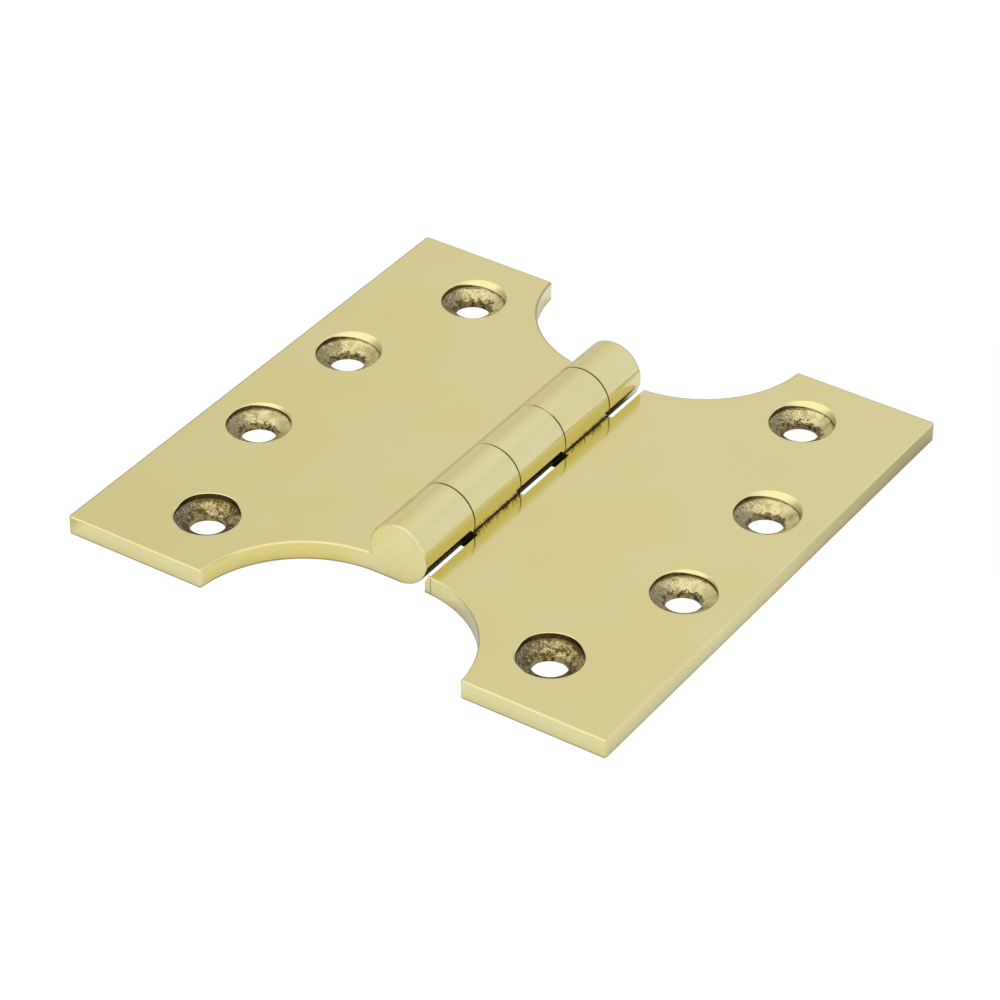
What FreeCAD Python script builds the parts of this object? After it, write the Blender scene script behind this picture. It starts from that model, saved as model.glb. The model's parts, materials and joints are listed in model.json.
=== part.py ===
import FreeCAD, Part
import os

import Sketcher

# A parliament hinge of solid-drawn brass, open flat with its countersunk faces up.
# The origin lies on the underside, midway along the pin. +X runs to the right leaf and
# +Y along the pin to the far end. Each leaf is one drawn section with its knuckles on it.

doc = FreeCAD.newDocument("parliament_hinge")

sizes = [
    ("leaf_height", 101.6, "height of a leaf along the pin axis"),
    ("leaf_reach", 50.8, "pin axis to the outer edge of a leaf"),
    ("leaf_thickness", 3.5, "thickness of the plate"),
    ("corner_radius", 0.5, "rounding of the plate's corners in plan"),
    ("rim_radius", 0.3, "polished rounding of the plate's upper rims"),
    ("underside_bevel", 0.2, "broken edge round the plate's underside"),
    ("notch_radius", 20.2, "radius of the arc cut out at each end of a leaf"),
    ("notch_offset", 4.4, "pin axis to the centre of that arc"),
    ("barrel_diameter", 10.8, "outside of the knuckles"),
    ("barrel_length", 63.5, "all the knuckles together"),
    ("barrel_bevel", 0.3, "bevel round each end of the barrel"),
    ("first_knuckle_length", 13.65, "knuckle at the near end, to its joint line"),
    ("last_knuckle_length", 9.95, "knuckle at the far end, from its joint line"),
    ("knuckle_gap", 0.12, "running gap between two knuckles"),
    ("slot_clearance", 0.6, "barrel to the slot that the other leaf leaves for it"),
    ("web_thickness", 0.35, "web left at the near end of the right leaf's first slot"),
    ("web_offset", 5.1, "pin axis to the free edge of that web"),
    ("pin_diameter", 5.0, "steel pin, pressed in the left leaf's knuckles"),
    ("pin_clearance", 0.05, "radial running clearance in the right leaf's knuckles"),
    ("plug_length", 4.0, "brass plug behind each end of the pin"),
    ("screw_pitch", 25.4, "screw to screw along the pin axis"),
    ("end_hole_margin", 18.15, "leaf's outer edge to the holes nearest its ends"),
    ("middle_hole_margin", 9.75, "leaf's outer edge to the middle holes"),
    ("screw_hole_diameter", 6.0, "through hole"),
    ("seat_diameter", 10.8, "seat for the screw's head"),
    ("seat_angle", 122.0, "whole angle of the seat's cone, in degrees"),
    ("seat_rim_depth", 0.8, "straight rim of the seat above its cone"),
    ("seat_lip", 0.4, "eased lip round the mouth of the seat"),
]

sheet = doc.addObject("Spreadsheet::Sheet", "Sizes")
for row, (alias, number, note) in enumerate(sizes, start=1):
    sheet.set("A%d" % row, note)
    sheet.set("B%d" % row, str(number))
    sheet.setAlias("B%d" % row, alias)
doc.recompute()

# places that several features share, in terms of the sheet
overshoot = "Sizes.leaf_thickness"
leaf_end = "Sizes.leaf_height / 2"
axis_height = "Sizes.barrel_diameter / 2"
barrel_end = "Sizes.barrel_length / 2"
slot_edge = "(Sizes.barrel_diameter / 2 + Sizes.slot_clearance)"
half_gap = "Sizes.knuckle_gap / 2"

# five knuckles; the three between the end ones share what those leave of the barrel
middle_knuckles = 3
end_knuckles = "(Sizes.first_knuckle_length + Sizes.last_knuckle_length)"
knuckle_pitch = "((Sizes.barrel_length - %s) / %d)" % (end_knuckles, middle_knuckles)

# two places nearer to each other than this, in millimetres, are the same place
touching = 0.001


def joint_line(number):
    """Where one knuckle meets the next along the pin, counted from the near end."""
    steps = "%d * %s" % (number - 1, knuckle_pitch)
    return "-%s + Sizes.first_knuckle_length + %s" % (barrel_end, steps)


def value(expression):
    return float(sheet.evalExpression(expression))


def new_body(label):
    body = doc.addObject("PartDesign::Body", label)
    body.Label = label
    body.Placement = FreeCAD.Placement()
    return body


def new_sketch(body, name, role, offset=None):
    """Sketch on one of the body's origin planes, moved by offset along the plane's normal."""
    sketch = body.newObject("Sketcher::SketchObject", name)
    plane = [item for item in body.Origin.OriginFeatures if item.Role == role][0]
    sketch.AttachmentSupport = [(plane, "")]
    sketch.MapMode = "FlatFace"
    if offset:
        sketch.setExpression("AttachmentOffset.Base.z", offset)
    doc.recompute()
    return sketch


def bind(sketch, kind, refs, expression):
    """Dimension of a sketch, tied to the sheet."""
    index = sketch.addConstraint(Sketcher.Constraint(kind, *refs, value(expression)))
    sketch.setExpression("Constraints[%d]" % index, expression)


def place_point(sketch, point, across, along):
    """Ties a point of a sketch to the sketch's origin."""
    for kind, axis, expression in (("DistanceX", -2, across), ("DistanceY", -1, along)):
        if expression == "0":
            sketch.addConstraint(Sketcher.Constraint("PointOnObject", *point, axis))
        else:
            bind(sketch, kind, (-1, 1, *point), expression)


def draw_circle(sketch, across, along, diameter):
    """Circle in a sketch; across and along place its centre."""
    centre = FreeCAD.Vector(value(across), value(along), 0)
    circle = Part.Circle(centre, FreeCAD.Vector(0, 0, 1), value(diameter) / 2)
    index = sketch.addGeometry(circle, False)
    place_point(sketch, (index, 3), across, along)
    bind(sketch, "Diameter", (index,), diameter)


def draw_outline(sketch, corners):
    """Closed outline of straight lines; each corner is given across and along the sketch."""
    points = [FreeCAD.Vector(value(across), value(along), 0) for across, along in corners]
    count = len(points)
    lines = [Part.LineSegment(points[i], points[(i + 1) % count]) for i in range(count)]
    first = sketch.addGeometry(lines, False)[0]
    for i, (across, along) in enumerate(corners):
        joined = (first + i, 2, first + (i + 1) % count, 1)
        sketch.addConstraint(Sketcher.Constraint("Coincident", *joined))
        place_point(sketch, (first + i, 1), across, along)


def draw_rectangle(sketch, left, right, bottom, top):
    draw_outline(sketch, [(left, bottom), (right, bottom), (right, top), (left, top)])


def cut_through(body, name, sketch):
    """Pocket that runs both ways from its sketch, through everything."""
    pocket = body.newObject("PartDesign::Pocket", name)
    pocket.Profile = sketch
    pocket.Type = "ThroughAll"
    pocket.Midplane = True
    doc.recompute()
    return pocket


def edge_names(feature, wanted):
    """Names of the edges of a feature that pass a test."""
    edges = enumerate(feature.Shape.Edges, start=1)
    return ["Edge%d" % number for number, edge in edges if wanted(edge)]


def ease_edges(body, name, kind, base, wanted, size):
    """Fillet or Chamfer, as kind says, on the edges of a feature that pass a test."""
    eased = body.newObject("PartDesign::" + kind, name)
    eased.Base = (base, edge_names(base, wanted))
    eased.setExpression({"Fillet": "Radius", "Chamfer": "Size"}[kind], size)
    doc.recompute()
    return eased


def add_plate(body, side):
    """Flat of a leaf with the two arcs cut out of its ends; side is 1 to the right, -1 left."""
    outline = new_sketch(body, "plate_outline", "XY_Plane")
    reach = "%d * Sizes.leaf_reach" % side
    left, right = ("0", reach) if side > 0 else (reach, "0")
    draw_rectangle(outline, left, right, "-" + leaf_end, leaf_end)
    plate = body.newObject("PartDesign::Pad", "plate")
    plate.Profile = outline
    plate.setExpression("Length", "Sizes.leaf_thickness")
    doc.recompute()

    # each cut-out is an arc that runs out square to the pin, and a straight neck to the barrel
    neck_cut = new_sketch(body, "neck_cut", "XY_Plane")
    centre = "%d * Sizes.notch_offset" % side
    inner = "%d * %s" % (-side, overshoot)
    left, right = (inner, centre) if side > 0 else (centre, inner)
    beyond = "(%s + %s)" % (leaf_end, overshoot)
    draw_rectangle(neck_cut, left, right, "-" + beyond, "-" + barrel_end)
    draw_rectangle(neck_cut, left, right, barrel_end, beyond)
    cut_through(body, "neck", neck_cut)
    arc_cut = new_sketch(body, "arc_cut", "XY_Plane")
    for end in (-1, 1):
        along = "%d * (%s + Sizes.notch_radius)" % (end, barrel_end)
        draw_circle(arc_cut, centre, along, "2 * Sizes.notch_radius")
    notched = cut_through(body, "arcs", arc_cut)

    outside = value("Sizes.notch_offset + Sizes.notch_radius / 2")
    level = value("Sizes.leaf_thickness")

    def is_corner(edge):
        box = edge.BoundBox
        return box.XLength + box.YLength < touching and abs(box.Center.x) > outside

    def is_rim(edge, height):
        box = edge.BoundBox
        on_pin_axis = abs(box.XMax) + abs(box.XMin) < touching
        return abs(box.ZMin - height) + abs(box.ZMax - height) < touching and not on_pin_axis

    def is_upper_rim(edge):
        return is_rim(edge, level)

    def is_lower_rim(edge):
        return is_rim(edge, 0)

    corners = ease_edges(
        body, "plate_corners", "Fillet", notched, is_corner, "Sizes.corner_radius")
    upper = ease_edges(
        body, "upper_rims", "Fillet", corners, is_upper_rim, "Sizes.rim_radius")
    ease_edges(body, "lower_rims", "Chamfer", upper, is_lower_rim, "Sizes.underside_bevel")


def add_barrel(body):
    """Whole barrel, turned about the pin axis, with a bevel at each end."""
    section = new_sketch(body, "barrel_section", "YZ_Plane")
    top = "Sizes.barrel_diameter"
    bevelled_top = "(Sizes.barrel_diameter - Sizes.barrel_bevel)"
    bevelled_end = "(%s - Sizes.barrel_bevel)" % barrel_end
    draw_outline(section, [
        ("-" + barrel_end, axis_height),
        (barrel_end, axis_height),
        (barrel_end, bevelled_top),
        (bevelled_end, top),
        ("-" + bevelled_end, top),
        ("-" + barrel_end, bevelled_top),
    ])
    barrel = body.newObject("PartDesign::Revolution", "barrel")
    barrel.Profile = section
    barrel.ReferenceAxis = (section, ["Edge1"])
    barrel.Angle = 360
    doc.recompute()


def add_screw_holes(body, side):
    """Drilled seats and through holes, the end pair nearer to the pin than the middle pair."""
    marks = new_sketch(body, "screw_marks", "XY_Plane", "Sizes.leaf_thickness")
    for steps, margin in ((0.5, "Sizes.middle_hole_margin"), (1.5, "Sizes.end_hole_margin")):
        for end in (-1, 1):
            across = "%d * (Sizes.leaf_reach - %s)" % (side, margin)
            along = "%s * Sizes.screw_pitch" % (end * steps)
            draw_circle(marks, across, along, "Sizes.screw_hole_diameter")
    doc.recompute()
    holes = body.newObject("PartDesign::Hole", "screw_holes")
    holes.Profile = marks
    doc.recompute()
    holes.DepthType = "ThroughAll"
    holes.HoleCutType = "Counterdrill"
    holes.setExpression("Diameter", "Sizes.screw_hole_diameter")
    holes.setExpression("HoleCutDiameter", "Sizes.seat_diameter")
    holes.setExpression("HoleCutDepth", "Sizes.seat_rim_depth")
    holes.setExpression("HoleCutCountersinkAngle", "Sizes.seat_angle")
    doc.recompute()
    level = value("Sizes.leaf_thickness")
    mouth = value("Sizes.seat_diameter")

    def is_seat_mouth(edge):
        box = edge.BoundBox
        level_with_top = abs(box.ZMin - level) + abs(box.ZMax - level) < touching
        return level_with_top and abs(box.XLength - mouth) + abs(box.YLength - mouth) < touching

    ease_edges(body, "seat_lips", "Chamfer", holes, is_seat_mouth, "Sizes.seat_lip")


def cut_knuckle_gaps(body, side, spans):
    """Slots that the other leaf's knuckles turn in; spans are pairs of ends along the pin."""
    gaps = new_sketch(body, "knuckle_gaps", "XY_Plane")
    outside = "%d * (Sizes.barrel_diameter / 2 + %s)" % (-side, overshoot)
    edge = "%d * %s" % (side, slot_edge)
    left, right = (outside, edge) if side > 0 else (edge, outside)
    for near_end, far_end in spans:
        draw_rectangle(gaps, left, right, near_end, far_end)
    cut_through(body, "slots", gaps)


def bore_barrel(body, diameter):
    mark = new_sketch(body, "bore_mark", "XZ_Plane")
    draw_circle(mark, "0", axis_height, diameter)
    cut_through(body, "bore", mark)


def turned_rod(label, length, middle):
    """Plain rod on the pin axis; middle is where its centre lies along the pin."""
    body = new_body(label)
    circle = new_sketch(body, label + "_section", "XZ_Plane", "-(%s)" % middle)
    draw_circle(circle, "0", axis_height, "Sizes.pin_diameter")
    rod = body.newObject("PartDesign::Pad", label + "_rod")
    rod.Profile = circle
    rod.setExpression("Length", length)
    rod.Midplane = True
    doc.recompute()
    return body


left_leaf = new_body("left_leaf")
add_plate(left_leaf, -1)
add_barrel(left_leaf)
cut_knuckle_gaps(left_leaf, -1, [
    (joint_line(1) + " - " + half_gap, joint_line(2) + " + " + half_gap),
    (joint_line(3) + " - " + half_gap, joint_line(4) + " + " + half_gap),
])
bore_barrel(left_leaf, "Sizes.pin_diameter")
add_screw_holes(left_leaf, -1)

right_leaf = new_body("right_leaf")
add_plate(right_leaf, 1)
add_barrel(right_leaf)
cut_knuckle_gaps(right_leaf, 1, [
    ("-%s + Sizes.web_thickness" % barrel_end, joint_line(1) + " + " + half_gap),
    (joint_line(2) + " - " + half_gap, joint_line(3) + " + " + half_gap),
    (joint_line(4) + " - " + half_gap, "%s + %s" % (barrel_end, overshoot)),
])
# the web at the near end stands free of the barrel, its top scooped round the pin axis;
# what shapes it reaches from the barrel's end into the first slot
web_cut_end = "(%s - 2 * Sizes.web_thickness)" % barrel_end
web_side = new_sketch(right_leaf, "web_side_section", "XY_Plane")
draw_rectangle(
    web_side,
    "-(Sizes.barrel_diameter / 2 + %s)" % overshoot,
    "Sizes.web_offset",
    "-(%s + %s)" % (barrel_end, overshoot),
    "-" + web_cut_end,
)
cut_through(right_leaf, "web_side", web_side)
scoop = new_sketch(right_leaf, "scoop_section", "XZ_Plane", web_cut_end)
draw_circle(scoop, "0", axis_height, "2 * " + slot_edge)
web_scoop = right_leaf.newObject("PartDesign::Pocket", "web_scoop")
web_scoop.Profile = scoop
web_scoop.Type = "ThroughAll"
web_scoop.Reversed = True
doc.recompute()
bore_barrel(right_leaf, "Sizes.pin_diameter + 2 * Sizes.pin_clearance")
add_screw_holes(right_leaf, 1)

hinge_pin = turned_rod("hinge_pin", "Sizes.barrel_length - 2 * Sizes.plug_length", "0")
plug_middle = "(%s - Sizes.plug_length / 2)" % barrel_end
near_end_plug = turned_rod("near_end_plug", "Sizes.plug_length", "-" + plug_middle)
far_end_plug = turned_rod("far_end_plug", "Sizes.plug_length", plug_middle)

doc.recompute()
for item in doc.Objects:
    if "Invalid" in item.State or "Error" in item.State:
        raise RuntimeError("%s failed to build: %s" % (item.Name, item.State))
pieces = [left_leaf, right_leaf, hinge_pin, near_end_plug, far_end_plug]
for piece in pieces:
    if piece.Shape.isNull() or not piece.Shape.isValid() or len(piece.Shape.Solids) != 1:
        raise RuntimeError("%s has no sound solid" % piece.Label)

os.makedirs("parts", exist_ok=True)
for piece in pieces:
    piece.Shape.exportStep("parts/%s.step" % piece.Label)
    box = piece.Shape.optimalBoundingBox(False, False)
    print("%-14s %10.2f mm3   x %.2f..%.2f   y %.2f..%.2f   z %.2f..%.2f" % (
        piece.Label, piece.Shape.Volume, box.XMin, box.XMax, box.YMin, box.YMax, box.ZMin, box.ZMax))
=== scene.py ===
# A polished brass parliament hinge, lying open flat on a pale studio floor.
import json
import math

import bmesh
import bpy
from mathutils import Matrix, Vector


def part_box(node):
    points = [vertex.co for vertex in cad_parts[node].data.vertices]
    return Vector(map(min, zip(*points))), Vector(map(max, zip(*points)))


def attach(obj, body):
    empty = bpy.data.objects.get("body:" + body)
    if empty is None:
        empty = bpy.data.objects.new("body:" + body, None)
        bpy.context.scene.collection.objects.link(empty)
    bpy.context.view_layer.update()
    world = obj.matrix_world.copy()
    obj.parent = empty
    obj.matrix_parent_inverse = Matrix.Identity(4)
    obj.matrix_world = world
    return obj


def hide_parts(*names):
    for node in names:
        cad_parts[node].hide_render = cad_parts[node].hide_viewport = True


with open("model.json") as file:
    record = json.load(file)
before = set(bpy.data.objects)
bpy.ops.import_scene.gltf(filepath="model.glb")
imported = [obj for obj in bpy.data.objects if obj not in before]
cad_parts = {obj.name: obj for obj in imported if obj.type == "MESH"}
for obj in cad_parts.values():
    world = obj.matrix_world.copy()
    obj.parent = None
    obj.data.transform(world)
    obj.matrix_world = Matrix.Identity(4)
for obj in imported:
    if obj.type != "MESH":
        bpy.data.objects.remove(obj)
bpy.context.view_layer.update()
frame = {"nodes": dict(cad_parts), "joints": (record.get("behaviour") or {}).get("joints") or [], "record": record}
mm = 0.001
overcut = 1 * mm  # how far a cutting tool reaches past the metal

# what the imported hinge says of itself: the pin's height, the leaves' reach, the barrel and the pin
pinHeight = frame["joints"][0]["pos_m"][2]
rightLow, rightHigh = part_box("right_leaf")
leafReach = rightHigh.x
leafEnd = rightHigh.y
barrelRadius = -rightLow.x
barrelEnd = -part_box("near_end_plug")[0].y
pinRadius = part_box("hinge_pin")[1].x

# where the screws are, across and along the leaf, in the pairs at the ends and in the middle
screwRows = {}
for mount in frame["record"]["mounts"]:
    if mount["kind"] == "bolt_pattern":
        row = "end" if "end" in mount["name"] else "middle"
        screwRows[row] = (abs(mount["pos_m"][0]), mount["dims"]["spacing_y_mm"] * mm / 2)


# small helpers for nodes
def addNode(tree, kind, inputs=None, **settings):
    node = tree.nodes.new(kind)
    for name, value in settings.items():
        setattr(node, name, value)
    for name, value in (inputs or {}).items():
        if isinstance(value, bpy.types.NodeSocket):
            tree.links.new(value, node.inputs[name])
        else:
            node.inputs[name].default_value = value
    return node


def mathNode(tree, operation, *values):
    return addNode(tree, "ShaderNodeMath", dict(enumerate(values)), operation=operation).outputs[0]


def fold(tree, operation, first, *others):
    # one operation over all the values, from left to right
    for other in others:
        first = mathNode(tree, operation, first, other)
    return first


def plus(tree, *values):
    return fold(tree, "ADD", *values)


def minus(tree, *values):
    return fold(tree, "SUBTRACT", *values)


def times(tree, *values):
    return fold(tree, "MULTIPLY", *values)


def largest(tree, *values):
    return fold(tree, "MAXIMUM", *values)


def size(tree, value):
    return mathNode(tree, "ABSOLUTE", value)


def isUnder(tree, value, limit):
    return mathNode(tree, "LESS_THAN", value, limit)


def isOver(tree, value, limit):
    return mathNode(tree, "GREATER_THAN", value, limit)


def ramp(tree, value, slope, start):
    # start, and slope more for each unit of the value
    return mathNode(tree, "MULTIPLY_ADD", value, slope, start)


def distance(tree, first, firstCentre, second, secondCentre):
    # how far a point is from a line that runs square to both axes
    squares = [mathNode(tree, "POWER", minus(tree, value, centre), 2.0)
               for value, centre in ((first, firstCentre), (second, secondCentre))]
    return mathNode(tree, "SQRT", plus(tree, *squares))


def splitVector(tree, vector):
    return addNode(tree, "ShaderNodeSeparateXYZ", {"Vector": vector}).outputs


def vectorNode(tree, operation, first, second):
    return addNode(tree, "ShaderNodeVectorMath", {0: first, 1: second}, operation=operation).outputs[0]


def dot(tree, first, second):
    return addNode(tree, "ShaderNodeVectorMath", {0: first, 1: second},
                   operation="DOT_PRODUCT").outputs["Value"]


def blendValues(tree, amount, first, second):
    return addNode(tree, "ShaderNodeMix", {0: amount, 2: first, 3: second}).outputs[0]


def mixColour(tree, amount, first, second):
    first, second = [(*tone, 1) if isinstance(tone, tuple) else tone for tone in (first, second)]
    return addNode(tree, "ShaderNodeMix", {0: amount, 6: first, 7: second}, data_type="RGBA").outputs[2]


def layered(tree, colour, *layers):
    # lays tone after tone over the colour, each by its own share
    for share, tone in layers:
        colour = mixColour(tree, share, colour, tone)
    return colour


def spread(tree, value, low, high, newLow=0.0, newHigh=1.0):
    # stretches low..high to newLow..newHigh with soft ends
    return addNode(tree, "ShaderNodeMapRange", {
        "Value": value, "From Min": low, "From Max": high, "To Min": newLow, "To Max": newHigh,
    }, interpolation_type="SMOOTHSTEP").outputs["Result"]


def noise(tree, place, pitch, stretch=(1, 1, 1), detail=2.0, roughness=0.5, shift=0.0):
    # pitch is how far apart its blobs are, in metres; shift keeps one noise unlike the next
    mapping = addNode(tree, "ShaderNodeMapping", {
        "Vector": place,
        "Location": (shift, shift, shift),
        "Scale": [1 / (pitch * share) for share in stretch],
    })
    return addNode(tree, "ShaderNodeTexNoise", {
        "Vector": mapping.outputs[0], "Scale": 1.0, "Detail": detail, "Roughness": roughness,
    }).outputs["Fac"]


# small helpers for meshes
def meshObject(name, mesh, materials=()):
    obj = bpy.data.objects.new(name, mesh)
    bpy.context.scene.collection.objects.link(obj)
    for material in materials:
        if material:
            mesh.materials.append(material)
    return obj


def plainMesh(obj, name):
    # what an object's modifiers make of it, as a mesh of its own
    depsgraph = bpy.context.evaluated_depsgraph_get()
    mesh = bpy.data.meshes.new_from_object(obj.evaluated_get(depsgraph))
    mesh.name = name
    return mesh


def ringSolid(name, rings, material, place=Matrix.Identity(4)):
    # closed solid through rings of points, each seen anticlockwise from the end it is stacked to
    form = bmesh.new()
    rows = [[form.verts.new(point) for point in ring] for ring in rings]
    for lower, upper in zip(rows, rows[1:]):
        for index in range(len(lower)):
            following = (index + 1) % len(lower)
            form.faces.new((lower[index], lower[following], upper[following], upper[index]))
    form.faces.new(list(reversed(rows[0])))
    form.faces.new(rows[-1])
    form.transform(place)
    mesh = bpy.data.meshes.new(name)
    form.to_mesh(mesh)
    form.free()
    return meshObject(name, mesh, [material])


def blockSolid(name, low, high, material):
    corners = [(low[0], low[1]), (high[0], low[1]), (high[0], high[1]), (low[0], high[1])]
    rings = [[(x, y, z) for x, y in corners] for z in (low[2], high[2])]
    return ringSolid(name, rings, material)


def turnedSolid(name, profile, steps, material, place):
    # profile is (height, radius) up the turning axis
    angles = [2 * math.pi * step / steps for step in range(steps)]
    rings = [[(radius * math.cos(a), radius * math.sin(a), height) for a in angles]
             for height, radius in profile]
    return ringSolid(name, rings, material, place)


def arcPoints(centre, radius, start, stop, steps):
    angles = [start + (stop - start) * step / steps for step in range(steps + 1)]
    return [Vector((centre[0] + radius * math.cos(a), centre[1] + radius * math.sin(a)))
            for a in angles]


def carve(obj, tool, operation):
    cut = obj.modifiers.new(operation.lower(), "BOOLEAN")
    cut.operation = operation
    cut.solver = "EXACT"
    cut.material_mode = "TRANSFER"
    cut.object = tool


# the plate of a leaf, with an arc cut out at each end
leafForm = {
    "thickness": 3.5 * mm,
    "rimRound": 0.3 * mm,
    "undersideBevel": 0.2 * mm,
    "cornerRound": 0.5 * mm,
    "notchRadius": 20.2 * mm,
    "notchOffset": 4.4 * mm,
    "innerEdge": 0.3 * mm,  # hidden inside the barrel
    "arcSteps": 56,
    "cornerSteps": 6,
    "rimSteps": 5,
    "sharpFrom": math.radians(32),
}


def nearHalfOutline(form):
    # from the barrel out along the near notch and round both near corners, seen from above
    notchCentre = (form["notchOffset"], -barrelEnd - form["notchRadius"])
    corner = form["cornerRound"]
    cornerY = corner - leafEnd
    toCorner = form["notchRadius"] + corner
    touch = math.asin((cornerY - notchCentre[1]) / toCorner)
    cornerX = notchCentre[0] + toCorner * math.cos(touch)
    points = [Vector((form["innerEdge"], -barrelEnd))]
    points += arcPoints(notchCentre, form["notchRadius"], math.pi / 2, touch, form["arcSteps"])
    points += arcPoints((cornerX, cornerY), corner, math.pi + touch, 1.5 * math.pi,
                        form["cornerSteps"])[1:]
    points += arcPoints((leafReach - corner, cornerY), corner, 1.5 * math.pi, 2 * math.pi,
                        form["cornerSteps"])
    return points


def leafOutline(form, side):
    near = nearHalfOutline(form)
    outline = near + [Vector((point.x, -point.y)) for point in reversed(near)]
    if side < 0:
        outline = [Vector((-point.x, point.y)) for point in reversed(outline)]
    return outline


def insetDirections(outline):
    # how far each point of an anticlockwise outline moves for an inset of one
    directions = []
    for index, point in enumerate(outline):
        before = (point - outline[index - 1]).normalized()
        after = (outline[(index + 1) % len(outline)] - point).normalized()
        bisector = Vector((-before.y - after.y, before.x + after.x)).normalized()
        directions.append(bisector / bisector.dot(Vector((-after.y, after.x))))
    return directions


def plateSolid(name, form, side, material):
    outline = leafOutline(form, side)
    inward = insetDirections(outline)
    rim, top = form["rimRound"], form["thickness"]
    levels = [(form["undersideBevel"], 0.0), (0.0, form["undersideBevel"])]
    for step in range(form["rimSteps"] + 1):
        turn = 0.5 * math.pi * step / form["rimSteps"]
        levels.append((rim * (1 - math.cos(turn)), top - rim * (1 - math.sin(turn))))
    rings = [[(point.x + way.x * inset, point.y + way.y * inset, height)
              for point, way in zip(outline, inward)] for inset, height in levels]
    return ringSolid(name, rings, material)


# the five knuckles, and the slots that the other leaf's knuckles stand in
barrelForm = {
    "firstKnuckle": 13.65 * mm,
    "pitch": 13.3 * mm,
    "gap": 0.12 * mm,
    "endRound": 0.3 * mm,
    "jointRound": 0.06 * mm,
    "slotEdge": 6.0 * mm,
    "boreClearance": 0.05 * mm,
    "webThickness": 0.35 * mm,
    "webEdge": 5.1 * mm,
    "steps": 160,
    "roundSteps": 4,
    "boreSteps": 64,
}
alongPin = Matrix.Translation((0, 0, pinHeight)) @ Matrix.Rotation(math.radians(-90), 4, "X")


def jointLine(number):
    return -barrelEnd + barrelForm["firstKnuckle"] + (number - 1) * barrelForm["pitch"]


def knuckleEnds(number):
    half = barrelForm["gap"] / 2
    near = -barrelEnd if number == 1 else jointLine(number - 1) + half
    far = barrelEnd if number == 5 else jointLine(number) - half
    return near, far


def knuckleRim(end, inwards, radius, turns):
    # the rounded rim at one end of a knuckle, as (place along the pin, radius)
    return [(end + inwards * radius * (1 - math.sin(turn)), barrelRadius - radius * (1 - math.cos(turn)))
            for turn in turns]


def knuckleSolid(number, form, material):
    near, far = knuckleEnds(number)
    nearRound = form["endRound"] if number == 1 else form["jointRound"]
    farRound = form["endRound"] if number == 5 else form["jointRound"]
    turns = [0.5 * math.pi * step / form["roundSteps"] for step in range(form["roundSteps"] + 1)]
    profile = knuckleRim(near, 1, nearRound, reversed(turns)) + knuckleRim(far, -1, farRound, turns)
    return turnedSolid("knuckle%d" % number, profile, form["steps"], material, alongPin)


def slotTools(side, form, material):
    # room for the other leaf's knuckles, cut right through
    edge, beyond = form["slotEdge"], barrelRadius + leafForm["thickness"]
    half = form["gap"] / 2
    if side > 0:
        spans = [(-barrelEnd + form["webThickness"], jointLine(1) + half),
                 (jointLine(2) - half, jointLine(3) + half),
                 (jointLine(4) - half, barrelEnd + leafForm["thickness"])]
    else:
        spans = [(jointLine(1) - half, jointLine(2) + half),
                 (jointLine(3) - half, jointLine(4) + half)]
    low, high = sorted((-side * beyond, side * edge))
    tools = [blockSolid("slot", (low, near, -overcut), (high, far, beyond), material)
             for near, far in spans]
    if side > 0:
        # the thin web at the near end keeps clear of the barrel and is scooped round it
        past = -barrelEnd - leafForm["thickness"]
        inside = -barrelEnd + 2 * form["webThickness"]
        tools.append(blockSolid("webEnd", (low, past, -overcut), (form["webEdge"], inside, beyond),
                                material))
        tools.append(turnedSolid("webScoop", [(past, edge), (inside, edge)], form["steps"],
                                 material, alongPin))
    return tools


# square corners that carry the end faces of the barrel on into the plate's wall
cornerForm = {"outside": 0.15 * mm, "inside": 1.2 * mm, "from": 0.96}  # from is a share of the barrel


def cornerBlocks(form, material):
    blocks = []
    for end in (-barrelEnd, barrelEnd):
        near, far = sorted((end, end * form["from"]))
        low = (-barrelRadius - form["outside"], near, leafForm["undersideBevel"])
        high = (-barrelRadius + form["inside"], far, leafForm["thickness"])
        blocks.append(blockSolid("corner", low, high, material))
    return blocks


# a fine undercut where the plate's top meets each knuckle
creaseForm = {
    "height": leafForm["thickness"],
    "across": math.sqrt(barrelRadius**2 - (pinHeight - leafForm["thickness"])**2),
    "into": 0.09 * mm,
    "over": 0.12 * mm,
    "deep": 0.11 * mm,
    "endClear": 0.3 * mm,
}


def creaseTools(side, knuckles, form, material):
    low, high = sorted((side * (form["across"] - form["into"]), side * (form["across"] + form["over"])))
    blocks = []
    for number in knuckles:
        near, far = knuckleEnds(number)
        inset = form["endClear"] if number in (1, 5) else 0.0
        blocks.append(blockSolid("crease", (low, near + inset, form["height"] - form["deep"]),
                                 (high, far - inset, form["height"] + form["deep"]), material))
    return blocks


# the line that is left where the thin web joins the near notch's wall
seamForm = {"across": 6.15 * mm, "width": 0.1 * mm, "depth": 0.12 * mm}


def seamTool(form, material):
    edge = form["across"]
    wall = -barrelEnd - (leafForm["notchRadius"] - math.sqrt(
        leafForm["notchRadius"]**2 - (edge - leafForm["notchOffset"])**2))
    return blockSolid("seam", (edge, wall - overcut, -overcut),
                      (edge + form["width"], wall + form["depth"], barrelRadius), material)


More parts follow.
